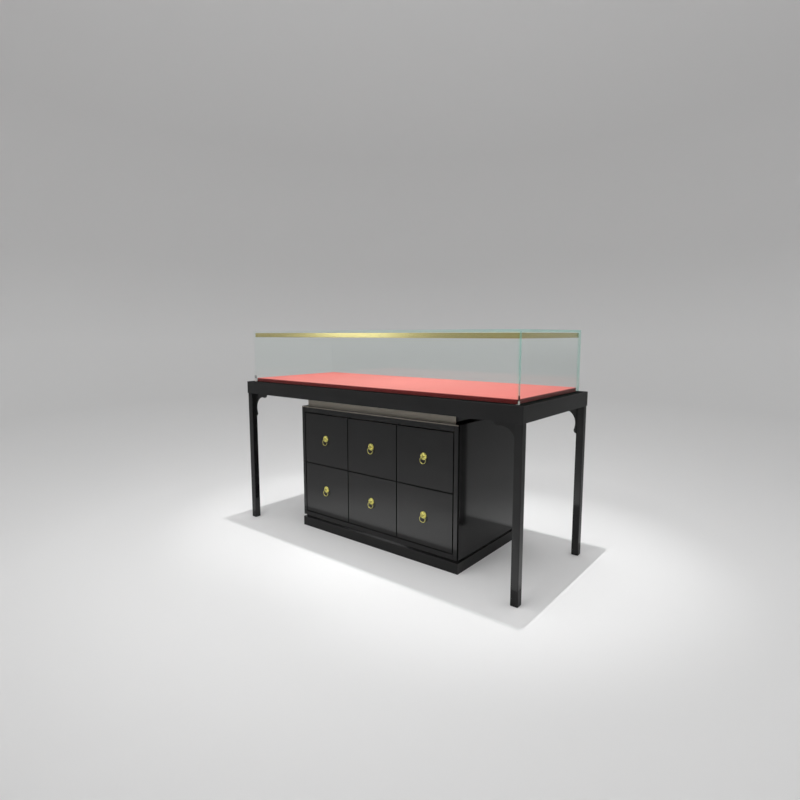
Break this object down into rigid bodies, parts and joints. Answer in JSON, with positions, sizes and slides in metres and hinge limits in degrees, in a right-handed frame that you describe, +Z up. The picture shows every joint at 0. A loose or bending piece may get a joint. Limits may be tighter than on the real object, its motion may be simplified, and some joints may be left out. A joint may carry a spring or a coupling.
{
  "type": "display cabinet",
  "caption": "Black lacquered display table with a lift-off glass hood over a red cloth deck, curved leg brackets, and a drawer pedestal with lion-mask ring pulls.",
  "frame": {"origin": "on the floor, under the middle of the table", "axes": "+X along the long side, -Y to the front where the drawers open, +Z up"},
  "size_m": [1.674, 0.66, 1.06],
  "materials": {
    "black_lacquer": "black gloss lacquer",
    "taupe_lacquer": "warm grey satin lacquer",
    "red_cloth": "short red nap over a board",
    "clear_glass": "clear, with green edges",
    "brass": "polished, slightly aged",
    "birch_ply": "clear satin"
  },
  "bodies": {
    "cabinet": {"leg_front_left": "black_lacquer", "leg_front_right": "black_lacquer", "leg_back_left": "black_lacquer", "leg_back_right": "black_lacquer", "bracket_front_left": "black_lacquer", "bracket_front_right": "black_lacquer", "bracket_back_left": "black_lacquer", "bracket_back_right": "black_lacquer", "rail_front": "black_lacquer", "rail_right": "black_lacquer", "rail_back": "black_lacquer", "rail_left": "black_lacquer", "base_panel": "black_lacquer", "plinth_front": "black_lacquer", "plinth_right": "black_lacquer", "plinth_back": "black_lacquer", "plinth_left": "black_lacquer", "side_left": "black_lacquer", "side_right": "black_lacquer", "carcass_top": "black_lacquer", "carcass_bottom": "black_lacquer", "back_panel": "black_lacquer", "neck_front": "taupe_lacquer", "neck_right": "black_lacquer", "neck_back": "black_lacquer", "neck_left": "black_lacquer", "shelf": "birch_ply", "divider_left": "birch_ply", "divider_right": "birch_ply", "deck_board": "red_cloth"},
    "hood": {"glass_front": "clear_glass", "glass_back": "clear_glass", "glass_left": "clear_glass", "glass_right": "clear_glass", "glass_top": "clear_glass", "band": "brass"},
    "drawer_bottom_left": {"drawer_front_bottom_left": "black_lacquer", "drawer_box_bottom_left": "birch_ply", "mask_bottom_left": "brass"},
    "drawer_bottom_middle": {"drawer_front_bottom_middle": "black_lacquer", "drawer_box_bottom_middle": "birch_ply", "mask_bottom_middle": "brass"},
    "drawer_bottom_right": {"drawer_front_bottom_right": "black_lacquer", "drawer_box_bottom_right": "birch_ply", "mask_bottom_right": "brass"},
    "drawer_top_left": {"drawer_front_top_left": "black_lacquer", "drawer_box_top_left": "birch_ply", "mask_top_left": "brass"},
    "drawer_top_middle": {"drawer_front_top_middle": "black_lacquer", "drawer_box_top_middle": "birch_ply", "mask_top_middle": "brass"},
    "drawer_top_right": {"drawer_front_top_right": "black_lacquer", "drawer_box_top_right": "birch_ply", "mask_top_right": "brass"},
    "pull_bottom_left": {"ring_bottom_left": "brass"},
    "pull_bottom_middle": {"ring_bottom_middle": "brass"},
    "pull_bottom_right": {"ring_bottom_right": "brass"},
    "pull_top_left": {"ring_top_left": "brass"},
    "pull_top_middle": {"ring_top_middle": "brass"},
    "pull_top_right": {"ring_top_right": "brass"}
  },
  "joints": [
    {"name": "hood_lift", "type": "slide", "parent": "cabinet", "child": "hood", "axis": [0, 0, 1], "range_m": [0, 0.3]},
    {"name": "drawer_bottom_left_slide", "type": "slide", "parent": "cabinet", "child": "drawer_bottom_left", "axis": [0, -1, 0], "range_m": [0, 0.38]},
    {"name": "drawer_bottom_middle_slide", "type": "slide", "parent": "cabinet", "child": "drawer_bottom_middle", "axis": [0, -1, 0], "range_m": [0, 0.38]},
    {"name": "drawer_bottom_right_slide", "type": "slide", "parent": "cabinet", "child": "drawer_bottom_right", "axis": [0, -1, 0], "range_m": [0, 0.38]},
    {"name": "drawer_top_left_slide", "type": "slide", "parent": "cabinet", "child": "drawer_top_left", "axis": [0, -1, 0], "range_m": [0, 0.38]},
    {"name": "drawer_top_middle_slide", "type": "slide", "parent": "cabinet", "child": "drawer_top_middle", "axis": [0, -1, 0], "range_m": [0, 0.38]},
    {"name": "drawer_top_right_slide", "type": "slide", "parent": "cabinet", "child": "drawer_top_right", "axis": [0, -1, 0], "range_m": [0, 0.38]},
    {"name": "ring_bottom_left_swing", "type": "hinge", "parent": "drawer_bottom_left", "child": "pull_bottom_left", "pos_m": [-0.315, -0.2381, 0.22895], "axis": [-1, 0, 0], "range_deg": [0, 90]},
    {"name": "ring_bottom_middle_swing", "type": "hinge", "parent": "drawer_bottom_middle", "child": "pull_bottom_middle", "pos_m": [0, -0.2381, 0.22895], "axis": [-1, 0, 0], "range_deg": [0, 90]},
    {"name": "ring_bottom_right_swing", "type": "hinge", "parent": "drawer_bottom_right", "child": "pull_bottom_right", "pos_m": [0.315, -0.2381, 0.22895], "axis": [-1, 0, 0], "range_deg": [0, 90]},
    {"name": "ring_top_left_swing", "type": "hinge", "parent": "drawer_top_left", "child": "pull_top_left", "pos_m": [-0.315, -0.2381, 0.49945], "axis": [-1, 0, 0], "range_deg": [0, 90]},
    {"name": "ring_top_middle_swing", "type": "hinge", "parent": "drawer_top_middle", "child": "pull_top_middle", "pos_m": [0, -0.2381, 0.49945], "axis": [-1, 0, 0], "range_deg": [0, 90]},
    {"name": "ring_top_right_swing", "type": "hinge", "parent": "drawer_top_right", "child": "pull_top_right", "pos_m": [0.315, -0.2381, 0.49945], "axis": [-1, 0, 0], "range_deg": [0, 90]}
  ]
}
